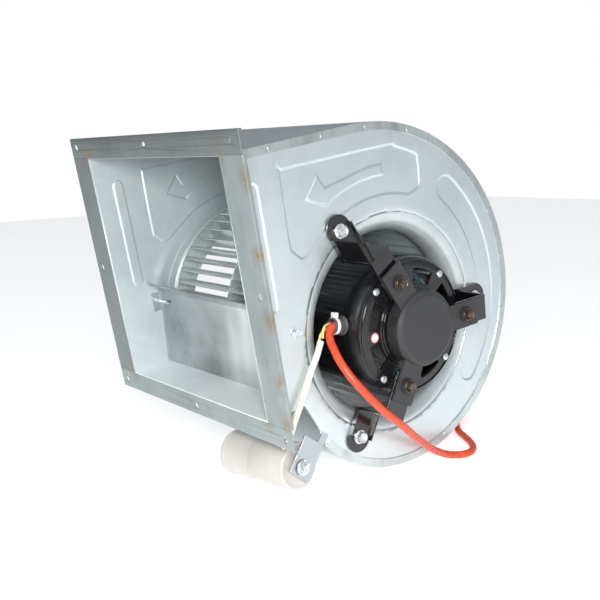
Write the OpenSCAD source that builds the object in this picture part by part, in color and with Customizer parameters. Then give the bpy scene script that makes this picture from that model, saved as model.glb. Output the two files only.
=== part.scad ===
// Double-inlet centrifugal blower: galvanised scroll housing with a square outlet frame,
// a forward-curved wheel and a direct-drive motor carried by a three-legged spider.
// Units are millimetres. The housing is drawn with the fan axis along X through y = 0, z = 0,
// the outlet towards -Y, then set down on the floor by stand().

/* [Outlet frame] */
// Overall width of the outlet frame
frame_w = 340; // [300:1:380]
// Width of the two upright bars
frame_side = 36; // [25:1:45]
// How far the frame stands above and below the duct
frame_bar = 22; // [15:1:30]
// Depth of the lips folded back along the duct
frame_lip = 10; // [6:1:20]
// Depth of the folded outer edge
frame_return = 4; // [3:0.5:8]
// Sheet thickness of the frame bars
frame_sheet = 1.5; // [1:0.1:3]
// Diameter of the mounting holes
bolt_hole_d = 7; // [5:0.5:10]
// Distance of the mounting holes from the outer side edges
hole_inset = 12; // [8:1:20]
// Distance of the mounting holes from the top and bottom edges
hole_drop = 10; // [6:1:16]

/* [Scroll housing] */
// Half the width over the side plates
half_width = 134; // [100:1:180]
// Distance of the outlet plane in front of the fan axis
outlet_y = 175; // [150:1:220]
// Height of the outlet floor below the fan axis
floor_drop = 46; // [30:1:70]
// Scroll radius straight behind the fan axis
scroll_r = 182.5; // [160:0.5:220]
// Growth of the scroll radius per radian
scroll_k = 0.0866; // [0.05:0.0001:0.15]
// Sheet thickness of the housing
sheet = 1.2; // [0.8:0.1:2]
// Width of the rim folded over the side plates
rim_w = 8.5; // [5:0.5:15]
// Radius where the inlet ring meets the side plate
inlet_r = 115; // [90:1:140]
// Radius of the inlet throat
throat_r = 96; // [80:1:120]
// Length of the straight throat
throat_len = 8; // [4:1:16]

/* [Wheel] */
// Outer radius of the blades
wheel_r = 120; // [90:0.5:140]
// Inner radius of the blades
wheel_inner_r = 100; // [80:0.5:120]
// Half the width of the wheel
wheel_half = 111; // [80:1:150]
// Number of blades on each side
blade_count = 52; // [30:1:64]
// Blade sheet thickness
blade_t = 0.8; // [0.5:0.1:1.5]
// Radius of the blade curve
blade_arc = 14; // [10:0.5:20]
// Outer radius of the hub
hub_r = 19; // [12:0.5:30]
// Radius of the motor shaft
shaft_r = 6.35; // [5:0.05:10]

/* [Motor] */
// Outer radius of the motor shell
motor_r = 71; // [60:0.5:85]
// Where the shell starts, measured from the middle of the wheel
shell_from = 64; // [50:1:80]
// Where the shell ends
shell_to = 146; // [130:1:160]
// Radius of the through bolt circle
through_r = 63.8; // [50:0.1:70]
// Angle of the first through bolt
through_a = 131; // [0:1:180]
// Radius of the rotor
rotor_r = 44.3; // [35:0.1:55]
// Angle of the cable grommet
grommet_a = 165; // [90:1:240]

/* [Spider and legs] */
// Angle of the first leg
leg_a = 116; // [60:1:180]
// Width of the legs
leg_w = 30; // [20:1:40]
// Width of the spider arms
arm_w = 27; // [18:1:36]
// Radius of the bolts in the side plate
foot_bolt_r = 124.1; // [115:0.1:140]
// Radius of the bolts in the spider arms
arm_bolt_r = 61; // [45:1:75]
// Where the spider stands, measured from the middle of the wheel
spider_x = 178; // [165:1:200]

/* [Capacitor] */
// Capacitor radius
cap_r = 23.8; // [15:0.1:30]
// Capacitor length
cap_len = 95; // [60:1:120]
// Sideways turn of the capacitor
cap_yaw = 6; // [-10:0.5:10]
// Droop of the capacitor
cap_dip = 2.6; // [0:0.1:6]

/* [Stance and cable] */
// Forward lean of the blower as it rests on the scroll and the capacitor
rest_tilt = 9.5; // [0:0.1:20]
// Diameter of the supply cable
cable_d = 8; // [6:0.5:12]
// Diameter of the white sleeve
sleeve_d = 6.4; // [4:0.1:10]

/* [Hidden] */
$fn = 0;
$fa = 3;
$fs = 0.8;
// outlet
front_y = -outlet_y;
flow_angle = atan(scroll_k);
function toward(a) = [cos(a), sin(a)];
function scroll_at(a) = scroll_r * exp(scroll_k * a * PI / 180);
// the scroll runs down from the flat top in small steps
scroll_start = 90 + flow_angle;
scroll_step = 3;
scroll_count = 78;
function scroll_line(inset) =
    [for (i = [0 : scroll_count])
        let (a = scroll_start - i * scroll_step)
        (scroll_at(a) - inset) * toward(a)];
top_start = scroll_at(scroll_start) * toward(scroll_start);
duct_top = top_start[1];
wrap_front = [[-118, -74], [-130, -floor_drop]];
// frame
frame_half = frame_w / 2;
frame_top_z = duct_top + frame_bar;
frame_bottom_z = -floor_drop - frame_bar;
frame_mid_z = (frame_top_z + frame_bottom_z) / 2;
// stance
axis_height = max([for (p = scroll_line(0)) -p * [sin(rest_tilt), cos(rest_tilt)]]);
back_reach = max([for (p = scroll_line(0)) p * [cos(rest_tilt), -sin(rest_tilt)]]);
front_reach = front_y * cos(rest_tilt) - frame_top_z * sin(rest_tilt);
bolt_head_top = spider_x + 11;
centre_x = (bolt_head_top - frame_half) / 2;
centre_y = (back_reach + front_reach) / 2;
// wheel
blade_hub = [108, 13];
blade_from = 234;
blade_sweep = 98;
// capacitor
cap_y = -146.8;
cap_x = 131;
cap_lean = cos(cap_dip) * sin(cap_yaw) * sin(rest_tilt) + sin(cap_dip) * cos(rest_tilt);
cap_z = (cap_r * sqrt(1 - cap_lean * cap_lean) + cap_len * cap_lean - axis_height
         - cap_y * sin(rest_tilt)) / cos(rest_tilt);
strap_tab = [[-116, -93.5], [-108, -85.5], [-114, -79.5], [-122.5, -87.2]];
strap = [[-161.7, -103], [-142.8, -124], [-116, -93.5], [-135.8, -74.4]];
// pressed shapes of the side plates
pocket_edge = [[-113, 178], [-109, 183.5], [-78, 183.5], [23, 181.5], [36, 178], [62, 166],
               [65, 160], [63.5, 136], [59, 130], [47, 126.5], [36, 129.5], [23, 132.5],
               [8, 134.3], [-12, 134], [-30, 131.2], [-48, 125.7], [-62, 119.3], [-80, 108],
               [-98, 97.5], [-105, 98], [-112, 106], [-114.5, 112]];
arrow_edge = [[14, 153.5], [0, 154], [-20, 152.7], [-40, 148.6], [-57, 143], [-62, 138],
              [-88, 150], [-70, 170], [-63, 156.5], [-42, 159.5], [-20, 163], [0, 165],
              [14, 164.5]];
screw_at = [-125.4, 29.1];
// clinch marks round the folded rim: angles on the arcs and places along the flat top
clinch_angles = [90, 73.5, 55, 39, 26, 8, -12, -30, -50, -70];
clinch_top = [-120, -57];
// supply cable on the floor, in the frame of the stand
cable_route = [[128, -61, 165], [128, -70, 165.4], [130, -76, 160], [142, -80, 145],
               [158, -78, 126], [169, -69, 109], [174, -50, 88], [173, -21, 64.5],
               [161, 20, 34.5], [152, 53, 14], [152, 79, 4], [158, 92, 4], [154, 107, 4],
               [140, 121, 4], [122, 132, 4], [102, 143, 4], [82, 160, 4], [70, 173, 4]];
// two turns lie on each other, and the last part of the lead lies round their outside
coil_at = [30, 148, 9.2];
coil_r = 44;
coil_rise = 8;
tie_a = -40;
tail_route = [[79, 166, 12.2], [72, 178, 9.6], [64, 188, 6], [48, 197, 5.2], [30, 200, 5.2],
              [12, 197, 5.2], [-3, 188, 5.2], [-16, 172, 5.2], [-25, 154, 5.2],
              [-34, 137, 5.4], [-39, 127, 5.5]];
plug_at = [-47.3, 110.9, 5.5];
plug_turn = -27;
sleeve_route = [[131, -88, 154], [133, -94, 143], [131, -102, 124], [131, -110, 106],
                [131, -122, 82], [128, -129, 62], [118, -127, 52.4]];
wire_route_a = [[121.6, -62, 166.6], [122, -72, 167], [127, -81, 164], [131.6, -86, 157]];
wire_route_b = [[121.6, -62, 163.6], [122, -72, 163.2], [124, -81, 160], [128.4, -88, 154]];

// ---------- placing helpers ----------
module stand() {
    translate([-centre_x, -centre_y, axis_height])
        rotate([rest_tilt, 0, 0])
            children();
}

// draws a flat shape, given as (y, z), standing across the fan axis
module slab(x, thick) {
    translate([x, 0, 0])
        rotate([90, 0, 90])
            linear_extrude(height = thick)
                children();
}

// turns a profile, given as (radius, x), round the fan axis
module turned() {
    rotate([0, 90, 0])
        rotate_extrude()
            children();
}

module spin_to(a) {
    rotate([a, 0, 0])
        children();
}

module rod_x(x, length, y, z, r) {
    translate([x, y, z])
        rotate([0, 90, 0])
            cylinder(h = length, r = r);
}

module hex_x(x, length, y, z, r) {
    translate([x, y, z])
        rotate([0, 90, 0])
            cylinder(h = length, r = r, $fn = 6);
}

// outline moved outwards by d along the corner normals
function turn_left(v) = [-v[1], v[0]];
function unit(v) = v / norm(v);
function grown(p, d) =
    [for (i = [0 : len(p) - 1])
        let (a = p[(i + len(p) - 1) % len(p)], b = p[i], c = p[(i + 1) % len(p)])
        b + d * unit(turn_left(unit(b - a)) + turn_left(unit(c - b)))];
// a line of points made into a strip of thickness t
function strip_side(p, t) =
    [for (i = [0 : len(p) - 1])
        let (a = p[max(i - 1, 0)], c = p[min(i + 1, len(p) - 1)])
        p[i] + t * unit(turn_left(c - a))];
function reversed(p) = [for (i = [len(p) - 1 : -1 : 0]) p[i]];
function ribbon(p, t) = concat(p, reversed(strip_side(p, t)));

// ---------- tubes for the cords ----------
function spline(p, i, t) =
    let (a = p[max(i - 1, 0)], b = p[i], c = p[i + 1], d = p[min(i + 2, len(p) - 1)])
    0.5 * (2 * b + (c - a) * t + (2 * a - 5 * b + 4 * c - d) * t * t
           + (3 * b - a - 3 * c + d) * t * t * t);
function smooth(p, n) =
    concat([for (i = [0 : len(p) - 2]) for (k = [0 : n - 1]) spline(p, i, k / n)],
           [p[len(p) - 1]]);
function heading(p, i) = unit(p[min(i + 1, len(p) - 1)] - p[max(i - 1, 0)]);
function side_of(h) = unit(cross(h, abs(h[2]) > 0.9 ? [1, 0, 0] : [0, 0, 1]));
function carried(p, i, s) =
    let (h = heading(p, i), w = s - (s * h) * h)
    norm(w) > 0.01 ? unit(w) : side_of(h);
function sides(p, i) = i == 0 ? side_of(heading(p, 0)) : carried(p, i, sides(p, i - 1));

module tube(p, d, count) {
    rings = len(p);
    points = [for (i = [0 : rings - 1])
                let (h = heading(p, i), s = sides(p, i), u = cross(h, s))
                for (k = [0 : count - 1])
                    p[i] + d / 2 * (cos(360 * k / count) * s + sin(360 * k / count) * u)];
    walls = [for (i = [0 : rings - 2]) for (k = [0 : count - 1])
                [i * count + k, i * count + (k + 1) % count,
                 (i + 1) * count + (k + 1) % count, (i + 1) * count + k]];
    start_face = [[for (k = [count - 1 : -1 : 0]) k]];
    end_face = [[for (k = [0 : count - 1]) (rings - 1) * count + k]];
    polyhedron(points = points, faces = concat(start_face, walls, end_face), convexity = 6);
}

// two turns of the cable on each other, cut across
module coil_section(r) {
    for (s = [-1, 1])
        translate([coil_r, s * coil_rise / 2])
            circle(r = r);
    translate([coil_r - r, -coil_rise / 2])
        square([2 * r, coil_rise]);
}

// ---------- scroll shapes ----------
// everything inside the housing outline, seen along the fan axis
module scroll_area(inset) {
    polygon(concat([[front_y, duct_top - inset]], scroll_line(inset),
                   [wrap_front[0] + [inset, 0.3 * inset],
                    [wrap_front[1][0] + 1.1 * inset, -floor_drop],
                    [front_y, -floor_drop]]));
}

module rim_band() {
    start_y = front_y + 15;
    polygon(concat([[start_y, duct_top]], scroll_line(0), reversed(scroll_line(rim_w)),
                   [[start_y, duct_top - rim_w]]));
}

module folded_rim() {
    slab(half_width, sheet)
        rim_band();
    for (a = clinch_angles)
        rod_x(half_width + sheet, 0.6,
              (scroll_at(a) - 4.6) * cos(a), (scroll_at(a) - 4.6) * sin(a), 3);
    for (y = clinch_top)
        rod_x(half_width + sheet, 0.6, y, duct_top - 4.6, 3);
}

module rib_area(m) {
    translate([-146.5, 60.5])
        circle(r = 5.5 + m);
    translate([-146.5, 172.5])
        circle(r = 5.5 + m);
    translate([-152 - m, 60.5])
        square([11 + 2 * m, 112]);
}

module back_slot_area(m) {
    steps = [50 : -7 : -41];
    outer = [for (a = steps) (0.87 * scroll_at(a) + m) * toward(a)];
    inner = [for (a = steps) (0.735 * scroll_at(a) - m) * toward(a)];
    polygon(concat(outer, reversed(inner)));
    translate(0.8025 * scroll_at(50) * toward(50))
        circle(r = 0.0675 * scroll_at(50) + m);
    translate(0.8025 * scroll_at(-41) * toward(-41))
        circle(r = 0.0675 * scroll_at(-41) + m);
}

// side plate for the near side; the far one is its mirror image without the leg holes
module side_plate(leg_holes) {
    slab(half_width - sheet, sheet)
        difference() {
            scroll_area(sheet);
            circle(r = inlet_r);
            difference() {
                polygon(pocket_edge);
                polygon(arrow_edge);
            }
            rib_area(0);
            back_slot_area(0);
            translate(screw_at)
                circle(r = 2.4);
            for (i = [0 : leg_holes - 1])
                translate(foot_bolt_r * toward(leg_a - 120 * i))
                    circle(r = 3.3);
        }
    slab(half_width - 2 * sheet, sheet) {
        polygon(grown(pocket_edge, 2));
        rib_area(1.5);
        back_slot_area(2);
    }
}

module inlet_ring() {
    bend = inlet_r - throat_r;
    face = half_width - sheet;
    turned() {
        difference() {
            intersection() {
                translate([inlet_r, face - bend])
                    circle(r = bend);
                translate([throat_r, face - bend])
                    square([bend, bend]);
            }
            translate([inlet_r, face - bend])
                circle(r = bend - sheet);
        }
        translate([throat_r, face - bend - throat_len])
            square([sheet, throat_len]);
        translate([inlet_r, face - sheet])
            square([2.5, sheet]);
    }
}

module mirrored_x() {
    mirror([1, 0, 0])
        children();
}

// ---------- frame ----------
module frame_hole(x, z) {
    translate([x, front_y - 1, z])
        rotate([-90, 0, 0])
            cylinder(h = frame_sheet + 2, d = bolt_hole_d);
}

module level_bar(edge_z, duct_z, up) {
    z0 = min(edge_z, duct_z);
    lip_z = up ? duct_z : duct_z - frame_sheet;
    return_z = up ? edge_z - frame_sheet : edge_z;
    hole_z = up ? edge_z - hole_drop : edge_z + hole_drop;
    difference() {
        union() {
            translate([-frame_half, front_y, z0])
                cube([frame_w, frame_sheet, abs(edge_z - duct_z)]);
            translate([-half_width - sheet, front_y, lip_z])
                cube([2 * half_width + 2 * sheet, frame_lip, frame_sheet]);
            translate([-frame_half, front_y, return_z])
                cube([frame_w, frame_return, frame_sheet]);
        }
        frame_hole(0, hole_z);
        for (s = [-1, 1])
            frame_hole(s * (frame_half - hole_inset), hole_z);
    }
}

module side_bar() {
    height = duct_top + floor_drop;
    difference() {
        translate([half_width, front_y, -floor_drop])
            cube([frame_side, frame_sheet, height]);
        frame_hole(frame_half - hole_inset, frame_mid_z);
    }
    translate([half_width, front_y, -floor_drop])
        cube([frame_sheet, frame_lip, height]);
    translate([frame_half - frame_sheet, front_y, -floor_drop])
        cube([frame_sheet, frame_return, height]);
}

// ---------- wheel ----------
module blade(x, length) {
    translate([x, 0, 0])
        rotate([90, 0, 90])
            translate(blade_hub)
                rotate([0, 0, blade_from])
                    rotate_extrude(angle = blade_sweep)
                        translate([blade_arc - blade_t, 0])
                            square([blade_t, length]);
}

module blade_row() {
    for (i = [0 : blade_count - 1])
        spin_to(i * 360 / blade_count)
            blade(sheet / 2, wheel_half - sheet / 2);
}

module wheel_ring() {
    turned() {
        translate([wheel_inner_r - 0.5, wheel_half])
            square([wheel_r - wheel_inner_r + 1.8, 1.2]);
        translate([wheel_r + 0.3, wheel_half - 5])
            square([1, 5.1]);
    }
}

// ---------- motor ----------
module window_cuts(x, depth) {
    for (i = [0 : 3])
        for (start = [9, 53])
            spin_to(through_a + 90 * i + start)
                translate([x, 0, 0])
                    rotate([90, 0, 90])
                        rotate_extrude(angle = 28)
                            translate([45, 0])
                                square([14.5, depth]);
}

module through_holes(x, length, r) {
    for (i = [0 : 3])
        spin_to(through_a + 90 * i)
            rod_x(x, length, through_r, 0, r);
}

module bell(profile, cut_x) {
    difference() {
        turned()
            polygon(profile);
        window_cuts(cut_x, 6);
        through_holes(cut_x - 1, 8, 2.3);
    }
}

module bearing(x) {
    turned()
        translate([shaft_r + 0.3, x])
            square([16.2 - shaft_r - 0.3, 12]);
}

module slot_bars(x, length, r, gap) {
    for (i = [0 : 23])
        spin_to(i * 15)
            translate([x, r, -3 + gap])
                cube([length, 12 - gap, 6 - 2 * gap]);
}

// ---------- spider and legs ----------
module leg() {
    strip = 2.5;
    difference() {
        union() {
            translate([half_width, 95, -leg_w / 2])
                cube([strip, 31, leg_w]);
            rod_x(half_width, strip, 126, 0, leg_w / 2);
        }
        rod_x(half_width - 1, strip + 2, foot_bolt_r, 0, 3.3);
    }
    for (s = [-1, 1])
        translate([half_width + strip, 97, s * (leg_w / 2 - 0.9) - 0.9])
            cube([4, 28, 1.8]);
    translate([half_width, 95, -arm_w / 2])
        cube([spider_x - 2 - half_width, strip, arm_w]);
    difference() {
        translate([spider_x - 2 - strip, arm_bolt_r - 11, -arm_w / 2])
            cube([strip, 95 + strip - arm_bolt_r + 11, arm_w]);
        rod_x(spider_x - 6, 5, arm_bolt_r, 0, 3.3);
    }
}

module each_leg() {
    for (i = [0 : 2])
        spin_to(leg_a - 120 * i)
            children();
}

// ---------- sub-parts ----------
module side_plate_near() {
    color([0.72, 0.75, 0.78])
        stand()
            side_plate(3);
}

module side_plate_far() {
    color([0.72, 0.75, 0.78])
        stand()
            mirrored_x()
                side_plate(0);
}

module inlet_ring_near() {
    color([0.78, 0.8, 0.82])
        stand()
            inlet_ring();
}

module inlet_ring_far() {
    color([0.78, 0.8, 0.82])
        stand()
            mirrored_x()
                inlet_ring();
}

module scroll_wrap() {
    color([0.66, 0.69, 0.72])
        stand()
            slab(-half_width, 2 * half_width)
                difference() {
                    scroll_area(0);
                    scroll_area(sheet);
                }
}

module scroll_rim_near() {
    color([0.66, 0.69, 0.72])
        stand()
            folded_rim();
}

module scroll_rim_far() {
    color([0.66, 0.69, 0.72])
        stand()
            mirrored_x()
                folded_rim();
}

module outlet_floor() {
    color([0.8, 0.82, 0.84])
        stand()
            translate([-half_width + sheet, front_y, -floor_drop])
                cube([2 * (half_width - sheet), outlet_y - 127.8, sheet]);
}

module cutoff_panel() {
    inner = half_width - sheet;
    line = [[-129, -floor_drop + sheet + 0.1], [-123, 30], [-124.2, 42], [-129, 49.5], [-138, 53]];
    color([0.84, 0.86, 0.88])
        stand() {
            slab(-inner, 2 * inner)
                polygon(reversed(ribbon(line, -sheet)));
            for (x = [-inner, inner - sheet])
                slab(x, sheet)
                    difference() {
                        polygon([[-134, 18], [-123.5, 18], [-122.6, 30], [-123.8, 40],
                                 [-134, 40]]);
                        translate(screw_at)
                            circle(r = 2.2);
                    }
        }
}

module housing_screws() {
    color([0.78, 0.78, 0.8])
        stand()
            for (s = [0, 1])
                mirror([s, 0, 0]) {
                    hex_x(half_width + 1.2, 4, screw_at[0], screw_at[1], 4.6);
                    rod_x(half_width, 1.2, screw_at[0], screw_at[1], 6.2);
                    rod_x(half_width - 20, 20, screw_at[0], screw_at[1], 2.1);
                    translate([half_width - 24, screw_at[0], screw_at[1]])
                        rotate([0, 90, 0])
                            cylinder(h = 4, r1 = 0.6, r2 = 2.1);
                }
}

module frame_top_bar() {
    color([0.6, 0.63, 0.66])
        stand()
            level_bar(frame_top_z, duct_top, true);
}

module frame_bottom_bar() {
    color([0.6, 0.63, 0.66])
        stand()
            level_bar(frame_bottom_z, -floor_drop, false);
}

module frame_near_bar() {
    color([0.64, 0.67, 0.7])
        stand()
            side_bar();
}

module frame_far_bar() {
    color([0.64, 0.67, 0.7])
        stand()
            mirrored_x()
                side_bar();
}

module wheel_blades_near() {
    color([0.74, 0.76, 0.78])
        stand()
            blade_row();
}

module wheel_blades_far() {
    color([0.74, 0.76, 0.78])
        stand()
            translate([-wheel_half - sheet / 2, 0, 0])
                blade_row();
}

module wheel_ring_near() {
    color([0.8, 0.81, 0.83])
        stand()
            wheel_ring();
}

module wheel_ring_far() {
    color([0.8, 0.81, 0.83])
        stand()
            mirrored_x()
                wheel_ring();
}

module wheel_centre_plate() {
    color([0.7, 0.72, 0.74])
        stand()
            slab(-sheet / 2, sheet)
                difference() {
                    circle(r = wheel_r);
                    circle(r = hub_r);
                }
}

module wheel_hub() {
    color([0.55, 0.56, 0.58])
        stand()
            difference() {
                union() {
                    rod_x(-16, 32, 0, 0, hub_r);
                    rod_x(sheet / 2, 3, 0, 0, hub_r + 12);
                }
                rod_x(-17, 34, 0, 0, shaft_r);
                translate([-10, 0, 0])
                    cylinder(h = hub_r + 1, r = 3);
            }
}

module hub_set_screw() {
    color([0.25, 0.25, 0.27])
        stand()
            translate([-10, 0, shaft_r])
                cylinder(h = hub_r - shaft_r - 1, r = 3);
}

module motor_shaft() {
    color([0.7, 0.7, 0.72])
        stand()
            rod_x(-22, 190, 0, 0, shaft_r);
}

module motor_rotor() {
    color([0.5, 0.5, 0.52])
        stand()
            turned() {
                translate([shaft_r, 80])
                    square([rotor_r - shaft_r, 50]);
                translate([30, 74])
                    square([11, 62]);
            }
}

module motor_shell() {
    color([0.06, 0.06, 0.07])
        stand()
            difference() {
                turned()
                    translate([motor_r - 1.5, shell_from])
                        square([1.5, shell_to - shell_from]);
                spin_to(grommet_a)
                    translate([135.5, motor_r - 4, 0])
                        rotate([-90, 0, 0])
                            cylinder(h = 8, r = 8);
            }
}

module motor_bell_outer() {
    r = motor_r;
    a = shell_to;
    color([0.1, 0.1, 0.11])
        stand()
            bell([[r - 1.5, a], [r + 1, a], [r + 1, a + 10], [r - 1, a + 14], [r - 5, a + 16],
                  [19.8, a + 16], [19.8, a + 28], [0, a + 28], [0, a + 25.5],
                  [16.2, a + 25.5], [16.2, a + 6], [19.8, a + 6], [19.8, a + 13],
                  [r - 6, a + 13], [r - 1.5, a + 9.5]], a + 12);
}

module motor_bell_inner() {
    r = motor_r;
    a = shell_from;
    color([0.1, 0.1, 0.11])
        stand()
            bell([[r - 1.5, a], [r - 1.5, a - 9.5], [r - 6, a - 13], [19.8, a - 13],
                  [19.8, a - 6], [16.2, a - 6], [16.2, a - 19.5], [shaft_r + 0.5, a - 19.5],
                  [shaft_r + 0.5, a - 22], [19.8, a - 22], [19.8, a - 16], [r - 5, a - 16],
                  [r - 1, a - 14], [r + 1, a - 10], [r + 1, a]], a - 18);
}

module stator_core() {
    color([0.4, 0.4, 0.42])
        stand()
            difference() {
                turned()
                    translate([rotor_r + 0.5, 82])
                        square([motor_r - 1.5 - rotor_r - 0.5, 46]);
                slot_bars(81, 48, 46, 0);
                through_holes(81, 48, 2.3);
            }
}

module stator_windings() {
    color([0.1, 0.25, 0.35])
        stand() {
            slot_bars(81.5, 47, 46, 0.3);
            turned() {
                translate([46.4, 70])
                    square([12, 11.8]);
                translate([46.4, 128.2])
                    square([12, 13]);
            }
        }
}

module bearing_outer() {
    color([0.75, 0.75, 0.77])
        stand()
            bearing(154);
}

module bearing_inner() {
    color([0.75, 0.75, 0.77])
        stand()
            bearing(45);
}

module motor_through_bolts() {
    color([0.75, 0.77, 0.8])
        stand()
            for (i = [0 : 3])
                spin_to(through_a + 90 * i) {
                    rod_x(44, 120, through_r, 0, 2);
                    rod_x(162, 2.4, through_r, 0, 3.7);
                    hex_x(44.8, 3.2, through_r, 0, 4);
                }
}

module cable_grommet() {
    color([0.25, 0.25, 0.26])
        stand()
            spin_to(grommet_a)
                translate([135.5, 0, 0])
                    rotate([-90, 0, 0])
                        difference() {
                            union() {
                                translate([0, 0, motor_r - 1.4])
                                    cylinder(h = 16.4, r = 7.8);
                                translate([0, 0, motor_r + 0.1])
                                    cylinder(h = 3, r = 10);
                            }
                            translate([0, 0, 67])
                                cylinder(h = 20, r = 6.6);
                        }
}

module cable_tie() {
    color([0.92, 0.92, 0.9])
        stand()
            spin_to(grommet_a)
                translate([135.5, 0, 0])
                    rotate([-90, 0, 0])
                        translate([0, 0, 80]) {
                            difference() {
                                cylinder(h = 3.5, r = 8.8);
                                translate([0, 0, -1])
                                    cylinder(h = 6, r = 7.8);
                            }
                            translate([-3, 8.4, -0.5])
                                cube([6, 5, 5]);
                        }
}

module bell_sticker() {
    color([0.95, 0.93, 0.93])
        stand()
            spin_to(through_a + 45)
                rod_x(162, 0.4, 52, 0, 5.4);
}

module rubber_ring() {
    color([0.08, 0.08, 0.08])
        stand()
            turned()
                translate([19.8, 163])
                    square([17, spider_x - 163]);
}

module spider_bracket() {
    x = spider_x;
    color([0.16, 0.16, 0.17])
        stand() {
            turned()
                polygon([[0, x + 8], [33, x + 8], [36.6, x + 6.6], [39, x + 3], [39, x],
                         [36.2, x], [36.2, x + 2], [34.4, x + 4.4], [32, x + 5.5],
                         [0, x + 5.5]]);
            for (i = [0 : 2])
                spin_to(leg_a - 120 * i)
                    difference() {
                        translate([x, 37, -arm_w / 2])
                            cube([2.5, 42, arm_w]);
                        rod_x(x - 1, 5, arm_bolt_r, 0, 3.3);
                    }
        }
}

module motor_leg_a() {
    color([0.05, 0.05, 0.06])
        stand()
            spin_to(leg_a)
                leg();
}

module motor_leg_b() {
    color([0.05, 0.05, 0.06])
        stand()
            spin_to(leg_a - 120)
                leg();
}

module motor_leg_c() {
    color([0.05, 0.05, 0.06])
        stand()
            spin_to(leg_a - 240)
                leg();
}

module leg_bolts() {
    x = half_width + 2.5;
    color([0.8, 0.81, 0.83])
        stand()
            each_leg() {
                rod_x(x, 1.5, foot_bolt_r, 0, 7.5);
                hex_x(x + 1.5, 5, foot_bolt_r, 0, 6.3);
                rod_x(x - 13, 13, foot_bolt_r, 0, 3);
            }
}

module leg_nuts() {
    color([0.8, 0.81, 0.83])
        stand()
            each_leg()
                difference() {
                    hex_x(half_width - sheet - 5, 5, foot_bolt_r, 0, 6.3);
                    rod_x(half_width - sheet - 6, 7, foot_bolt_r, 0, 3);
                }
}

module spider_bolts() {
    x = spider_x + 2.5;
    color([0.45, 0.36, 0.25])
        stand()
            each_leg() {
                rod_x(x + 2.5, 1.2, arm_bolt_r, 0, 6.5);
                hex_x(x + 3.7, 4.8, arm_bolt_r, 0, 5.4);
                rod_x(x - 14, 16.5, arm_bolt_r, 0, 3);
            }
}

module spider_nuts() {
    color([0.45, 0.36, 0.25])
        stand()
            each_leg()
                difference() {
                    hex_x(spider_x - 9.5, 5, arm_bolt_r, 0, 5.4);
                    rod_x(spider_x - 10, 6, arm_bolt_r, 0, 3);
                }
}

module spider_bushes() {
    color([0.1, 0.1, 0.1])
        stand()
            each_leg()
                for (place = [[spider_x - 2, 2], [spider_x + 2.5, 2.5]])
                    difference() {
                        rod_x(place[0], place[1], arm_bolt_r, 0, 8);
                        rod_x(place[0] - 1, place[1] + 2, arm_bolt_r, 0, 3);
                    }
}

// capacitor axis runs from the bracket towards the far side
module cap_place() {
    stand()
        translate([cap_x, cap_y, cap_z])
            rotate([0, -cap_dip, cap_yaw])
                children();
}

module capacitor_body() {
    color([0.93, 0.92, 0.9])
        cap_place()
            rotate([0, -90, 0]) {
                cylinder(h = 0.55 * cap_len, r = cap_r);
                cylinder(h = cap_len, r = cap_r - 0.4);
                translate([0, 0, cap_len - 4])
                    cylinder(h = 4, r = cap_r);
                translate([0, 0, -12.5])
                    cylinder(h = 13, r = 4);
            }
}

module capacitor_bracket() {
    color([0.76, 0.79, 0.8])
        stand() {
            slab(half_width, 2)
                difference() {
                    union() {
                        polygon(strap);
                        polygon(strap_tab);
                    }
                    translate([-145.8, -105])
                        circle(r = 4.8);
                    translate([-151, -109.5])
                        circle(r = 1.6);
                }
        }
}

module capacitor_nut() {
    color([0.8, 0.81, 0.82])
        cap_place()
            rotate([0, 90, 0])
                difference() {
                    union() {
                        translate([0, 0, 5.9])
                            cylinder(h = 1.2, r = 8);
                        translate([0, 0, 7.1])
                            cylinder(h = 3.8, r = 6.6, $fn = 6);
                    }
                    translate([0, 0, 5])
                        cylinder(h = 8, r = 4);
                }
}

module capacitor_lead() {
    color([0.96, 0.94, 0.86])
        tube(smooth(sleeve_route, 3), sleeve_d, 8);
}

module motor_lead_wires() {
    color([0.93, 0.85, 0.4]) {
        tube(smooth(wire_route_a, 2), 2.6, 8);
        tube(smooth(wire_route_b, 2), 2.6, 8);
    }
}

module power_cable() {
    color([0.95, 0.33, 0.18])
        tube(smooth(cable_route, 2), cable_d, 10);
}

module cable_coil() {
    color([0.95, 0.33, 0.18])
        translate(coil_at)
            rotate_extrude()
                coil_section(cable_d / 2);
}

module coil_tie() {
    color([0.1, 0.1, 0.1])
        translate(coil_at)
            rotate([0, 0, tie_a])
                translate([0, 2, 0])
                    rotate([90, 0, 0])
                        linear_extrude(height = 4)
                            difference() {
                                coil_section(cable_d / 2 + 1.2);
                                coil_section(cable_d / 2 + 0.1);
                            }
}

module cable_tail() {
    color([0.95, 0.33, 0.18])
        tube(smooth(tail_route, 2), cable_d, 10);
}

module cable_connector() {
    color([0.93, 0.93, 0.91])
        translate(plug_at)
            rotate([0, 0, plug_turn])
                rotate([90, 0, 0])
                    translate([0, 0, -18]) {
                        linear_extrude(height = 24)
                            translate([-11, -5.5])
                                square([22, 11]);
                        translate([0, 0, 24])
                            linear_extrude(height = 12)
                                translate([-9, -4])
                                    square([18, 8]);
                    }
}

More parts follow.
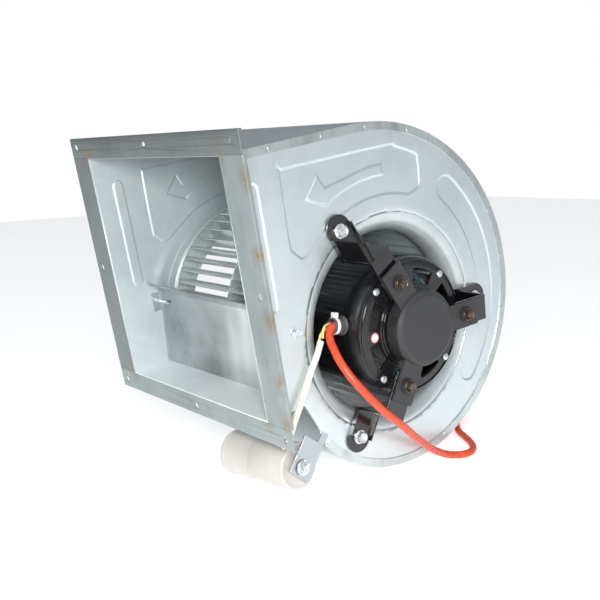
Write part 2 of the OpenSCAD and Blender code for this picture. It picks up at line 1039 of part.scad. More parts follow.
side_plate_near();
side_plate_far();
inlet_ring_near();
inlet_ring_far();
scroll_wrap();
scroll_rim_near();
scroll_rim_far();
outlet_floor();
cutoff_panel();
housing_screws();
frame_top_bar();
frame_bottom_bar();
frame_near_bar();
frame_far_bar();
wheel_blades_near();
wheel_blades_far();
wheel_ring_near();
wheel_ring_far();
wheel_centre_plate();
wheel_hub();
hub_set_screw();
motor_shaft();
motor_rotor();
motor_shell();
motor_bell_outer();
motor_bell_inner();
stator_core();
stator_windings();
bearing_outer();
bearing_inner();
motor_through_bolts();
cable_grommet();
cable_tie();
bell_sticker();
rubber_ring();
spider_bracket();
motor_leg_a();
motor_leg_b();
motor_leg_c();
leg_bolts();
leg_nuts();
spider_bolts();
spider_nuts();
spider_bushes();
capacitor_body();
capacitor_bracket();
capacitor_nut();
capacitor_lead();
motor_lead_wires();
power_cable();
cable_coil();
coil_tie();
cable_tail();
cable_connector();
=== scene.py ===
"""Visual model of the double-inlet blower: camera, cords, materials and finished pieces."""
import math
import random

import bmesh
import bpy
import numpy as np
from mathutils import Matrix, Quaternion, Vector, geometry


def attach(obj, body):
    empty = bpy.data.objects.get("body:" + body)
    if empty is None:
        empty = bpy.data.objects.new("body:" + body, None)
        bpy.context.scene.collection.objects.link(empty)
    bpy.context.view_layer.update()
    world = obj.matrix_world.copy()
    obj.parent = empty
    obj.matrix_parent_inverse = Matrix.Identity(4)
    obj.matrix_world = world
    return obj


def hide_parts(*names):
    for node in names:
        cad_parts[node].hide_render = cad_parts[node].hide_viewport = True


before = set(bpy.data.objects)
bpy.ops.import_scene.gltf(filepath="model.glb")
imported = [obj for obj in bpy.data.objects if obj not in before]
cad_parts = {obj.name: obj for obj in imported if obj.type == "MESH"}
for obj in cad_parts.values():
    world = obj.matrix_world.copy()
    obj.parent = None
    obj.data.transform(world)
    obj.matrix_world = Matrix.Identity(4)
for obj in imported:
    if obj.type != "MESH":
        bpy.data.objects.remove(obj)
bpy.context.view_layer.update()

MM = 0.001
TILT = math.radians(9.5)                            # lean of the housing
AXIS = Vector((-0.0095, 0.015152, 0.157601))        # middle of the wheel
# from millimetres on the housing, X along the shaft, to the scene's metres
STAND = Matrix.Translation(AXIS) @ Matrix.Rotation(TILT, 4, "X") @ Matrix.Scale(MM, 4)
HALF_WIDTH = 134.0                                  # outer face of a side plate
SHEET = 1.2                                         # thickness of the housing's sheet
MOUTH_R, THROAT_R, BEND_R = 115, 96, 19             # inlet: crease, throat and bend
BELL_FACE = 162                                     # outer face of the motor's end bell
LEG_ANGLES = (116, -4, -124)
THROUGH_ANGLES = (131, 221, 311, 41)
LEG_BOLT_R, SPIDER_BOLT_R, THROUGH_BOLT_R = 124.1, 61, 63.8
BUSH_ANGLE, DOT_ANGLE, DOT_R = 165, 176, 52
scene = bpy.context.scene
random.seed(7)


# ---------- camera ----------
def make_camera():
    data = bpy.data.cameras.new("camera")
    data.lens = 53.63
    data.sensor_width = 36
    data.clip_start = 0.01
    cam = bpy.data.objects.new("camera", data)
    scene.collection.objects.link(cam)
    look = Vector((-0.7801, 0.6032, -0.1659)).to_track_quat("-Z", "Y")
    cam.rotation_mode = "QUATERNION"
    cam.rotation_quaternion = look @ Quaternion((0, 0, 1), math.radians(-1.66))
    cam.location = (0.7931, -0.6240, 0.3386)
    scene.camera = cam


make_camera()


# ---------- mesh helpers ----------
def add_object(name, data):
    ob = bpy.data.objects.new(name, data)
    scene.collection.objects.link(ob)
    return ob


def mesh_object(name, verts, faces, place, sharp=35):
    """Welded mesh with edges above the sharp angle kept crisp."""
    mesh = bpy.data.meshes.new(name)
    mesh.from_pydata([tuple(place @ Vector(v)) for v in verts], [], faces)
    bm = bmesh.new()
    bm.from_mesh(mesh)
    bmesh.ops.remove_doubles(bm, verts=bm.verts, dist=1e-6)
    bmesh.ops.recalc_face_normals(bm, faces=bm.faces)
    for f in bm.faces:
        f.smooth = True
    for e in bm.edges:
        if len(e.link_faces) == 2:
            e.smooth = e.calc_face_angle(0) < math.radians(sharp)
    bm.to_mesh(mesh)
    bm.free()
    return add_object(name, mesh)


def join_parts(parts):
    """One vertex list and one face list from several."""
    verts, faces = [], []
    for v, f in parts:
        n = len(verts)
        verts += [tuple(p) for p in v]
        faces += [tuple(i + n for i in q) for q in f]
    return verts, faces


def moved(part, matrix):
    v, f = part
    return [matrix @ Vector(p) for p in v], f


def lathe(profile, count=72, closed=False, wobble=None):
    """Turns (radius, x) points round the X axis."""
    verts = []
    for k in range(count):
        a = math.radians(360.0 * k / count)
        for i, (r, x) in enumerate(profile):
            rr = r + (wobble(a, i) if wobble else 0.0)
            verts.append((x, rr * math.cos(a), rr * math.sin(a)))
    n = len(profile)
    faces = []
    for k in range(count):
        j = (k + 1) % count
        for i in range(n if closed else n - 1):
            m = (i + 1) % n
            faces.append((k * n + i, k * n + m, j * n + m, j * n + i))
    return verts, faces


def rod(x0, x1, r, edge):
    """A closed round bar along X with broken edges."""
    prof = [(0, x0), (r - edge, x0), (r - edge * 0.3, x0 + edge * 0.3), (r, x0 + edge),
            (r, x1 - edge), (r - edge * 0.3, x1 - edge * 0.3), (r - edge, x1), (0, x1)]
    return lathe(prof, 20)


def quad_rows(rows, count):
    """Faces between rings of count points that follow each other."""
    return [(i * count + k, i * count + (k + 1) % count,
             (i + 1) * count + (k + 1) % count, (i + 1) * count + k)
            for i in range(rows - 1) for k in range(count)]


def tube_part(points, r, count):
    """A round tube along points, with closed ends."""
    pts = [Vector(p) for p in points]
    heads = []
    for i in range(len(pts)):
        heads.append((pts[min(i + 1, len(pts) - 1)] - pts[max(i - 1, 0)]).normalized())
    side = heads[0].orthogonal().normalized()
    verts = []
    for p, h in zip(pts, heads):
        side = (side - h * side.dot(h)).normalized()
        up = h.cross(side)
        for k in range(count):
            a = 2 * math.pi * k / count
            verts.append(p + r * (math.cos(a) * side + math.sin(a) * up))
    faces = quad_rows(len(pts), count)
    faces.append(tuple(range(count - 1, -1, -1)))
    faces.append(tuple((len(pts) - 1) * count + k for k in range(count)))
    return verts, faces


def spline_at(a, b, c, d, t):
    """Point of a Catmull-Rom curve between b and c."""
    return 0.5 * (2 * b + (c - a) * t + (2 * a - 5 * b + 4 * c - d) * t * t
                  + (3 * b - a - 3 * c + d) * t * t * t)


def catmull(points, n):
    """Open curve through its points, n steps to each."""
    pts = [Vector(p) for p in points]
    out = []
    for i in range(len(pts) - 1):
        near = (pts[max(i - 1, 0)], pts[i], pts[i + 1], pts[min(i + 2, len(pts) - 1)])
        out += [spline_at(*near, k / n) for k in range(n)]
    return out + [pts[-1]]


def smooth_loop(points, n):
    """Closed outline rounded through its points."""
    m = len(points)
    out = []
    for i in range(m):
        near = [np.array(points[j % m], float) for j in range(i - 1, i + 3)]
        out += [tuple(spline_at(*near, k / n)) for k in range(n)]
    return out


# ---------- cords ----------
def cord_curve(name, points_mm, diameter_mm):
    """Smooth round curve through points given in millimetres in the scene's frame."""
    data = bpy.data.curves.new(name, "CURVE")
    data.dimensions = "3D"
    data.bevel_depth = diameter_mm * MM / 2
    data.bevel_resolution = 6
    data.resolution_u = 8
    data.use_fill_caps = True
    sp = data.splines.new("BEZIER")
    sp.bezier_points.add(len(points_mm) - 1)
    for i, p in enumerate(points_mm):
        bp = sp.bezier_points[i]
        bp.co = Vector(p) * MM
        bp.handle_left_type = bp.handle_right_type = "AUTO"
    return add_object(name, data)


# from the bush, over the near plate and down behind the scroll to the coil
ROUTE = [(128, -61, 165), (128, -70, 165.4), (130, -76, 160), (142, -80, 145),
         (158, -78, 126), (169, -69, 109), (174, -50, 88), (173, -21, 64.5),
         (161, 20, 34.5), (152, 53, 14), (152, 79, 4), (158, 92, 4), (154, 107, 4),
         (140, 121, 4), (122, 132, 4), (102, 143, 4), (82, 160, 4), (70, 173, 4)]
COIL_AT = (30, 148)
# turning angle, distance from the middle of the coil and height above the floor
COIL = [(49, 44, 5.2), (345, 44, 5.2), (400, 44, 13.2), (690, 44, 13.2), (715, 46.5, 13.4),
        (740, 52.3, 12.2), (752, 52.6, 10.6), (768, 52.2, 8.4), (790, 52, 5.2),
        (862, 52, 5.2)]
TAIL = [(-16, 172, 5.2), (-25, 154, 5.2), (-34, 137, 5.4), (-39, 127, 5.5)]


def coil_points():
    """The two turns of the coil, eased from one layer to the next."""
    out = []
    for a in range(58, 862, 22):
        for (a0, r0, z0), (a1, r1, z1) in zip(COIL, COIL[1:]):
            if a0 <= a <= a1:
                t = (a - a0) / (a1 - a0)
                t = t * t * (3 - 2 * t)
                r, z = r0 + (r1 - r0) * t, z0 + (z1 - z0) * t
        c, s = math.cos(math.radians(a)), math.sin(math.radians(a))
        out.append((COIL_AT[0] + r * c, COIL_AT[1] + r * s, z))
    return out


def length_of(ob):
    """Length of a curve in metres."""
    pts = []
    sp = ob.data.splines[0]
    for a, b in zip(sp.bezier_points, sp.bezier_points[1:]):
        pts += geometry.interpolate_bezier(a.co, a.handle_right, b.handle_left, b.co, 12)
    return sum((q - p).length for p, q in zip(pts, pts[1:]))


cable = cord_curve("supply_cable", ROUTE + coil_points() + TAIL, 8)
sleeve_route = [(131, -88, 154), (133, -94, 143), (131, -102, 124), (131, -110, 106),
                (131, -122, 82), (128, -129, 62), (118, -127, 52.4)]
sleeve = cord_curve("capacitor_sleeve", sleeve_route, 6.4)
wire_a = cord_curve("lead_wire_a", [(121.6, -62, 166.6), (122, -72, 167), (127, -81, 164),
                                    (131.6, -86, 157)], 2.6)
wire_b = cord_curve("lead_wire_b", [(121.6, -62, 163.6), (122, -72, 163.2), (124, -81, 160),
                                    (128.4, -88, 154)], 2.6)
bpy.context.view_layer.update()


# ---------- materials ----------
class Mat:
    """A procedural material built round one Principled shader."""

    def __init__(self, name, **sockets):
        self.mat = bpy.data.materials.new(name)
        self.mat.use_nodes = True
        self.t = self.mat.node_tree
        self.b = self.t.nodes["Principled BSDF"]
        for k, v in sockets.items():
            key = k.replace("_", " ")
            self.b.inputs[key].default_value = v
        self.coord = self.t.nodes.new("ShaderNodeTexCoord").outputs["Object"]

    def noise(self, scale, detail=3.0, rough=0.5, stretch=None):
        n = self.t.nodes.new("ShaderNodeTexNoise")
        n.inputs["Scale"].default_value = scale
        n.inputs["Detail"].default_value = detail
        n.inputs["Roughness"].default_value = rough
        self.t.links.new(self.scaled(stretch), n.inputs["Vector"])
        return n.outputs["Fac"]

    def scaled(self, stretch):
        if stretch is None:
            return self.coord
        m = self.t.nodes.new("ShaderNodeMapping")
        m.inputs["Scale"].default_value = stretch
        self.t.links.new(self.coord, m.inputs["Vector"])
        return m.outputs["Vector"]

    def cells(self, scale):
        v = self.t.nodes.new("ShaderNodeTexVoronoi")
        v.inputs["Scale"].default_value = scale
        self.t.links.new(self.coord, v.inputs["Vector"])
        return v.outputs["Color"]

    def distance(self, point):
        d = self.t.nodes.new("ShaderNodeVectorMath")
        d.operation = "DISTANCE"
        self.t.links.new(self.coord, d.inputs[0])
        d.inputs[1].default_value = tuple(point)
        return d.outputs["Value"]

    def ramp(self, fac, stops):
        r = self.t.nodes.new("ShaderNodeValToRGB")
        e = r.color_ramp.elements
        while len(e) < len(stops):
            e.new(0.5)
        for el, (pos, col) in zip(e, stops):
            el.position = pos
            el.color = (*col, 1.0)
        self.t.links.new(fac, r.inputs["Fac"])
        return r.outputs["Color"]

    def mix(self, fac, a, b):
        m = self.t.nodes.new("ShaderNodeMix")
        m.data_type = "RGBA"
        # the colour sockets of the node come after its number and vector sockets
        for socket, value in ((m.inputs[0], fac), (m.inputs[6], a), (m.inputs[7], b)):
            if isinstance(value, tuple):
                socket.default_value = (*value, 1.0)
            else:
                self.t.links.new(value, socket)
        return m.outputs[2]

    def math(self, op, a, b):
        m = self.t.nodes.new("ShaderNodeMath")
        m.operation = op
        for socket, value in zip(m.inputs, (a, b)):
            if isinstance(value, (int, float)):
                socket.default_value = value
            else:
                self.t.links.new(value, socket)
        return m.outputs[0]

    def span(self, fac, low, high, lo_in=0.3, hi_in=0.7):
        """Maps lo_in..hi_in to low..high and holds it there."""
        m = self.t.nodes.new("ShaderNodeMapRange")
        m.inputs["From Min"].default_value = lo_in
        m.inputs["From Max"].default_value = hi_in
        m.inputs["To Min"].default_value = low
        m.inputs["To Max"].default_value = high
        self.t.links.new(fac, m.inputs["Value"])
        return m.outputs["Result"]

    def near_points(self, points, reach):
        """1 at the nearest of the points, 0 beyond reach metres."""
        best = None
        for p in points:
            out = self.span(self.distance(p), 1.0, 0.0, 0.0, reach)
            best = out if best is None else self.math("MAXIMUM", best, out)
        return best

    def bump(self, height, strength=0.3, distance=0.001, normal=None):
        b = self.t.nodes.new("ShaderNodeBump")
        b.inputs["Strength"].default_value = strength
        b.inputs["Distance"].default_value = distance
        self.t.links.new(height, b.inputs["Height"])
        if normal is not None:
            self.t.links.new(normal, b.inputs["Normal"])
        return b.outputs["Normal"]

    def to(self, socket, value):
        self.t.links.new(value, self.b.inputs[socket])


def housing_points(points):
    return [STAND @ Vector(p) for p in points]


FRAME_CORNERS = housing_points([(sx * 134, -175, z) for sx in (-1, 1) for z in (210, -46)])
STAIN_EDGE = housing_points([(168, -175, z) for z in (-40, 0, 60, 120, 190)])


def galvanised(name, light, dark, rough=0.34, stains=(), reach=0.03, wave=0.5, grime=0.0,
               metal=0.92, painted_reflection=0.0):
    """Zinc-coated sheet with spangle and clouds, painted reflections as light streaks, dirt or
    stains where asked.
    """
    m = Mat(name, Metallic=metal)
    spangle = m.cells(95)
    grey = m.span(spangle, -0.5, 0.5, 0.0, 1.0)
    cloud = m.noise(9, 4, 0.6)
    fine = m.noise(420, 3, 0.6)
    fac = m.math("ADD", m.math("MULTIPLY", cloud, 0.9), m.math("MULTIPLY", spangle, 0.1))
    col = m.ramp(fac, [(0.28, dark), (0.62, light)])
    if painted_reflection:
        # light streaks mixed into the colour here are painted reflections
        band = m.noise(13, 2, 0.5, (1.0, 0.15, 0.15))
        col = m.mix(m.span(band, 0.0, painted_reflection, 0.44, 0.6), col, (0.85, 0.89, 0.9))
    if grime:
        streak = m.noise(30, 5, 0.7, (1.0, 1.0, 0.25))
        col = m.mix(m.span(streak, 0.0, grime, 0.5, 0.75), col, (0.2, 0.19, 0.17))
    if stains:
        near = m.near_points(stains, reach)
        blot = m.noise(70, 4, 0.7)
        mask = m.math("MULTIPLY", near, m.span(blot, 0.1, 1.0, 0.35, 0.62))
        col = m.mix(mask, col, (0.30, 0.22, 0.12))
    m.to("Base Color", col)
    rr = m.math("ADD", m.span(fine, rough - 0.02, rough + 0.03), m.math("MULTIPLY", grey, 0.03))
    m.to("Roughness", rr)
    n1 = m.bump(m.noise(14, 2, 0.4), wave, 0.0012)
    n2 = m.bump(fine, 0.012, 0.0003, n1)
    m.to("Normal", n2)
    return m.mat


def painted(name, colour, speck, rough, spread=0.1, coat=0.0, peel=0.12):
    m = Mat(name, Metallic=0.0, Coat_Weight=coat, Coat_Roughness=0.12)
    cloud = m.noise(40, 5, 0.65)
    dust = m.noise(900, 2, 0.7)
    col = m.mix(m.span(cloud, 0.0, 0.5, 0.45, 0.8), colour, speck)
    col = m.mix(m.span(dust, 0.0, 0.35, 0.66, 0.8), col, (0.16, 0.16, 0.17))
    m.to("Base Color", col)
    m.to("Roughness", m.span(cloud, rough - spread / 2, rough + spread / 2))
    m.to("Normal", m.bump(m.noise(500, 2, 0.5), peel, 0.0003))
    return m.mat


def plated(name, light, dark, rough, metallic=0.95):
    m = Mat(name, Metallic=metallic)
    blotch = m.noise(260, 4, 0.65)
    m.to("Base Color", m.ramp(blotch, [(0.35, dark), (0.6, light)]))
    m.to("Roughness", m.span(m.noise(600, 2), rough - 0.06, rough + 0.1))
    m.to("Normal", m.bump(m.noise(1500, 2), 0.08, 0.0002))
    return m.mat


def plastic(name, light, dark, rough, scale=60, peel=0.08, sub=0.0):
    m = Mat(name, Subsurface_Weight=sub, Subsurface_Scale=0.002)
    m.to("Base Color", m.ramp(m.noise(scale, 4, 0.6), [(0.35, dark), (0.65, light)]))
    m.to("Roughness", m.span(m.noise(scale * 4, 3), rough - 0.06, rough + 0.08))
    m.to("Normal", m.bump(m.noise(scale * 12, 2), peel, 0.0002))
    return m.mat


def woven(name, light, dark):
    """Braided sleeve: two crossing sets of fine threads."""
    m = Mat(name, Sheen_Weight=0.2, Roughness=0.75)
    w = []
    for turn in (0.8, -0.8):
        mp = m.t.nodes.new("ShaderNodeMapping")
        mp.inputs["Rotation"].default_value = (turn, 0.0, turn)
        m.t.links.new(m.coord, mp.inputs["Vector"])
        wave = m.t.nodes.new("ShaderNodeTexWave")
        wave.inputs["Scale"].default_value = 420
        wave.inputs["Distortion"].default_value = 0.6
        m.t.links.new(mp.outputs["Vector"], wave.inputs["Vector"])
        w.append(wave.outputs["Fac"])
    weave = m.math("MULTIPLY", w[0], w[1])
    tone = m.math("ADD", m.math("MULTIPLY", weave, 0.3), m.math("MULTIPLY", m.noise(60), 0.7))
    m.to("Base Color", m.ramp(tone, [(0.3, dark), (0.6, light)]))
    folds = m.noise(170, 3, 0.6, (1, 1, 0.35))
    m.to("Normal", m.bump(weave, 0.35, 0.0003, m.bump(folds, 0.8, 0.0016)))
    return m.mat


def sticker_material(centre):
    """White dot with a red rim."""
    m = Mat("sticker", Roughness=0.35)
    edge = m.math("ADD", m.distance(centre), m.math("MULTIPLY", m.noise(900), 0.0012))
    m.to("Base Color", m.ramp(m.span(edge, 0.0, 1.0, 0.0, 0.0064),
                              [(0.60, (0.95, 0.90, 0.90)), (0.80, (0.72, 0.12, 0.14))]))
    return m.mat


def winding_material():
    """Dark teal varnish with some copper showing."""
    m = Mat("winding_varnish", Coat_Weight=0.5, Coat_Roughness=0.2)
    wire = m.noise(240, 3, 0.6, (1, 1, 1))
    m.to("Base Color", m.ramp(wire, [(0.38, (0.015, 0.08, 0.11)), (0.56, (0.05, 0.24, 0.28)),
                                     (0.74, (0.30, 0.12, 0.04))]))
    m.to("Roughness", m.span(m.noise(500), 0.25, 0.5))
    return m.mat


M = {
    "plate": galvanised("galvanised_plate", (0.74, 0.80, 0.82), (0.64, 0.70, 0.72), 0.36,
                        wave=0.2, metal=0.8),
    # the far plate and far ring inside the housing get a darker copy of the zinc as painted
    # shade
    "inner": galvanised("zinc_inside_painted_shade", (0.62, 0.69, 0.70), (0.50, 0.56, 0.57), 0.34,
                        wave=0.25, metal=0.3),
    # the outlet floor's zinc is painted almost white as painted light
    "floor_painted_light": galvanised("zinc_floor_painted_light", (0.95, 0.98, 0.98), (0.80, 0.84, 0.85), 0.42,
                               wave=0.3, metal=0.3),
    # the cutoff panel's zinc is darkened as painted shade, with light streaks as painted
    # reflections
    "panel_painted_shade_and_reflection": galvanised("zinc_panel_painted_shade_and_reflection", (0.44, 0.475, 0.48), (0.24, 0.265, 0.27),
                               0.30, wave=0.6, metal=0.75, painted_reflection=0.85),
    "ring": galvanised("galvanised_ring", (0.66, 0.71, 0.72), (0.52, 0.57, 0.58), 0.30,
                       wave=0.15, metal=0.55),
    "wrap": galvanised("galvanised_wrap", (0.50, 0.54, 0.565), (0.40, 0.43, 0.46), 0.36,
                       wave=0.5),
    "rim": galvanised("galvanised_rim", (0.70, 0.75, 0.75), (0.50, 0.53, 0.54), 0.40,
                      wave=0.9, grime=0.5),
    # the frame bars' zinc is darkened as painted shade, the top and far bars more than the near
    # and bottom bars
    "frame": galvanised("zinc_frame_painted_shade", (0.25, 0.285, 0.29), (0.18, 0.205, 0.21), 0.4,
                        FRAME_CORNERS, 0.020, 0.5, 0.35, 0.7),
    "frame_near": galvanised("zinc_near_frame_painted_shade", (0.38, 0.43, 0.435), (0.28, 0.315, 0.32),
                             0.4, FRAME_CORNERS + STAIN_EDGE, 0.014, 0.5, 0.35, 0.7),
    "blade": galvanised("galvanised_blade", (0.74, 0.79, 0.79), (0.60, 0.65, 0.65), 0.32,
                        metal=0.5),
    "zinc": plated("zinc_plate", (0.80, 0.83, 0.85), (0.50, 0.52, 0.54), 0.28, 0.7),
    "bronze": plated("yellow_passivate", (0.17, 0.13, 0.09), (0.07, 0.055, 0.045), 0.36, 0.85),
    "bright": plated("ground_steel", (0.6, 0.6, 0.62), (0.45, 0.45, 0.47), 0.3),
    "iron": plated("grey_iron", (0.25, 0.25, 0.26), (0.16, 0.16, 0.165), 0.5, 0.8),
    "gloss": painted("gloss_black", (0.005, 0.005, 0.006), (0.012, 0.012, 0.013), 0.14,
                     coat=0.6),
    "bell": painted("bell_black", (0.010, 0.010, 0.011), (0.022, 0.022, 0.024), 0.26, coat=0.2),
    "satin": painted("satin_grey", (0.032, 0.032, 0.034), (0.05, 0.05, 0.052), 0.48,
                     peel=0.25),
    "rubber": plastic("rubber", (0.03, 0.03, 0.031), (0.014, 0.014, 0.015), 0.6, 90, 0.3),
    "grommet": plastic("grommet_rubber", (0.085, 0.085, 0.09), (0.035, 0.035, 0.037), 0.5, 90,
                       0.3),
    "white": plastic("white_plastic", (0.66, 0.635, 0.60), (0.60, 0.57, 0.53), 0.42, 30, 0.06,
                     0.1),
    "tie": plastic("tie_nylon", (0.86, 0.87, 0.84), (0.76, 0.77, 0.73), 0.35, 120, 0.05, 0.2),
    "cable": plastic("orange_cable", (0.74, 0.085, 0.028), (0.64, 0.062, 0.02), 0.30, 50,
                     0.06, 0.04),
    "yellow": plastic("yellow_wire", (0.90, 0.78, 0.32), (0.80, 0.66, 0.22), 0.42, 80),
    "sleeve": woven("white_sleeve", (0.93, 0.90, 0.79), (0.80, 0.76, 0.63)),
    "winding": winding_material(),
    "copper": plated("copper_wire", (0.55, 0.22, 0.09), (0.30, 0.11, 0.05), 0.3),
    "plug": plastic("plug_nylon", (0.80, 0.80, 0.76), (0.72, 0.72, 0.68), 0.45, 40),
    "strap": plastic("tie_black", (0.03, 0.03, 0.03), (0.015, 0.015, 0.015), 0.5, 200, 0.3),
}
M["sticker"] = sticker_material(STAND @ Matrix.Rotation(math.radians(DOT_ANGLE), 4, "X")
                                @ Vector((BELL_FACE + 0.4, DOT_R, 0)))

NODE_LOOK = {
    "plate": ["side_plate_near"],
    "inner": ["side_plate_far", "inlet_ring_far"],
    "floor_painted_light": ["outlet_floor"],
    "panel_painted_shade_and_reflection": ["cutoff_panel"],
    "ring": ["inlet_ring_near"],
    "wrap": ["scroll_wrap", "capacitor_bracket"],
    "rim": ["scroll_rim_near", "scroll_rim_far"],
    "frame": ["frame_top_bar", "frame_far_bar"],
    "frame_near": ["frame_near_bar", "frame_bottom_bar"],
    "blade": ["wheel_blades_near", "wheel_blades_far", "wheel_ring_near", "wheel_ring_far",
              "wheel_centre_plate"],
    "zinc": ["housing_screws", "leg_bolts", "leg_nuts", "motor_through_bolts",
             "capacitor_nut"],
    "bronze": ["spider_bolts", "spider_nuts"],
    "bright": ["motor_shaft", "bearing_outer", "bearing_inner"],
    "iron": ["wheel_hub", "stator_core", "motor_rotor", "hub_set_screw"],
    "gloss": ["motor_shell", "motor_leg_a", "motor_leg_b", "motor_leg_c"],
    "bell": ["motor_bell_outer", "motor_bell_inner"],
    "satin": ["spider_bracket"],
    "rubber": ["rubber_ring", "spider_bushes"],
    "grommet": ["cable_grommet"],
    "white": ["capacitor_body"],
    "tie": ["cable_tie"],
    "cable": ["power_cable", "cable_coil", "cable_tail"],
    "yellow": ["motor_lead_wires"],
    "sleeve": ["capacitor_lead"],
    "winding": ["stator_windings"],
    "plug": ["cable_connector"],
    "strap": ["coil_tie"],
    "sticker": ["bell_sticker"],
}
# width in millimetres of the rounding on a node's edges
ROUNDED = {"spider_bracket": 0.8, "motor_leg_a": 0.8, "motor_leg_b": 0.8, "motor_leg_c": 0.8,
           "motor_bell_outer": 0.7, "frame_top_bar": 0.35, "frame_bottom_bar": 0.35,
           "frame_near_bar": 0.35, "frame_far_bar": 0.35, "scroll_rim_near": 0.3,
           "scroll_rim_far": 0.3, "capacitor_bracket": 0.3, "cutoff_panel": 0.2,
           "cable_connector": 0.5, "cable_tie": 0.5, "rubber_ring": 0.6,
           "capacitor_nut": 0.3, "coil_tie": 0.3, "motor_shell": 0.2, "bell_sticker": 0.1,
           "scroll_wrap": 0.15,
           "wheel_ring_near": 0.15, "wheel_ring_far": 0.15, "spider_bushes": 0.4}


def paint(ob, look):
    ob.data.materials.clear()
    ob.data.materials.append(M[look])


def soften(ob, width):
    """Joins the imported faces and rounds the sharp edges a little."""
    for p in ob.data.polygons:
        p.use_smooth = True
    weld = ob.modifiers.new("weld", "WELD")
    weld.merge_threshold = 0.00001
    bevel = ob.modifiers.new("bevel", "BEVEL")
    bevel.width = width * MM
    bevel.segments = 2
    bevel.limit_method = "ANGLE"
    bevel.angle_limit = math.radians(32)
    bevel.use_clamp_overlap = True
    split = ob.modifiers.new("split", "EDGE_SPLIT")
    split.split_angle = math.radians(50)
    split.use_edge_sharp = False
    even = ob.modifiers.new("even", "WEIGHTED_NORMAL")
    even.mode = "FACE_AREA_WITH_ANGLE"
    even.weight = 60


for look, names in NODE_LOOK.items():
    for n in names:
        paint(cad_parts[n], look)
for n, width in ROUNDED.items():
    soften(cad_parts[n], width)


# ---------- side plates with their pressed shapes ----------
# the scroll's outline is a growing spiral; FLOW is the angle where it turns into the flat top
SCROLL_R, SCROLL_K = 182.5, 0.0866
FLOW = math.degrees(math.atan(SCROLL_K))


def scroll_at(a):
    return SCROLL_R * math.exp(SCROLL_K * math.radians(a))


def polar(r, a):
    return (r * math.cos(math.radians(a)), r * math.sin(math.radians(a)))


# pressed pocket and the arrow in it, (y, z) on the housing
POCKET = [(-113, 178), (-109, 183.5), (-78, 183.5), (23, 181.5), (36, 178), (62, 166),
          (65, 160), (63.5, 136), (59, 130), (47, 126.5), (36, 129.5), (23, 132.5),
          (8, 134.3), (-12, 134), (-30, 131.2), (-48, 125.7), (-62, 119.3), (-80, 108),
          (-98, 97.5), (-105, 98), (-112, 106), (-114.5, 112)]
ARROW = [(14, 153.5), (0, 154), (-20, 152.7), (-40, 148.6), (-57, 143), (-62, 138),
         (-88, 150), (-70, 170), (-63, 156.5), (-42, 159.5), (-20, 163), (0, 165),
         (14, 164.5)]


def half_turn(y, z, r, first, last, step):
    """Points on an arc round (y, z), angles in whole degrees."""
    return [(y + r * math.cos(math.radians(a)), z + r * math.sin(math.radians(a)))
            for a in range(first, last + 1, step)]


def rib_outline():
    """Upright rib beside the outlet."""
    return (half_turn(-146.5, 172.5, 5.5, 0, 180, 20)
            + half_turn(-146.5, 60.5, 5.5, 180, 360, 20))


def slot_outline():
    """Curved rib behind the inlet, with round ends."""
    outer = [polar(0.87 * scroll_at(a), a) for a in range(50, -42, -5)]
    inner = [polar(0.735 * scroll_at(a), a) for a in range(-41, 51, 5)]
    caps = []
    for end, first in ((-41, -41), (50, 230)):
        y, z = polar(0.8025 * scroll_at(end), end)
        r = 0.0675 * scroll_at(end)
        caps.append([(y + r * math.cos(math.radians(first - 22.5 * k)),
                      z + r * math.sin(math.radians(first - 22.5 * k))) for k in range(1, 8)])
    return outer + caps[0] + inner + caps[1]


def inside_of(pts, poly):
    p = np.asarray(poly, float)
    x, y = pts[:, 0:1], pts[:, 1:2]
    x0, y0 = p[:, 0][None], p[:, 1][None]
    x1, y1 = np.roll(p[:, 0], -1)[None], np.roll(p[:, 1], -1)[None]
    cross = ((y0 > y) != (y1 > y)) & (x < (x1 - x0) * (y - y0) / (y1 - y0 + 1e-12) + x0)
    return cross.sum(1) % 2 == 1


def distance_to(pts, poly):
    """Distance to an outline, positive inside it."""
    p = np.asarray(poly, float)
    a, b = p[None], np.roll(p, -1, 0)[None]
    q = pts[:, None, :]
    ab = b - a
    t = np.clip(((q - a) * ab).sum(2) / np.maximum((ab * ab).sum(2), 1e-9), 0, 1)
    d = np.sqrt(((q - a - t[..., None] * ab) ** 2).sum(2)).min(1)
    return np.where(inside_of(pts, poly), d, -d)


def spread(poly, step, off):
    """Points at a steady step along an outline, moved off it sideways."""
    out = []
    for (x0, y0), (x1, y1) in zip(poly, poly[1:] + poly[:1]):
        L = math.hypot(x1 - x0, y1 - y0)
        n = max(1, int(L / step))
        if L < 1e-6:
            continue
        nx, ny = -(y1 - y0) / L, (x1 - x0) / L
        for k in range(n):
            t = k / n
            out.append((x0 + (x1 - x0) * t + nx * off, y0 + (y1 - y0) * t + ny * off))
    return out


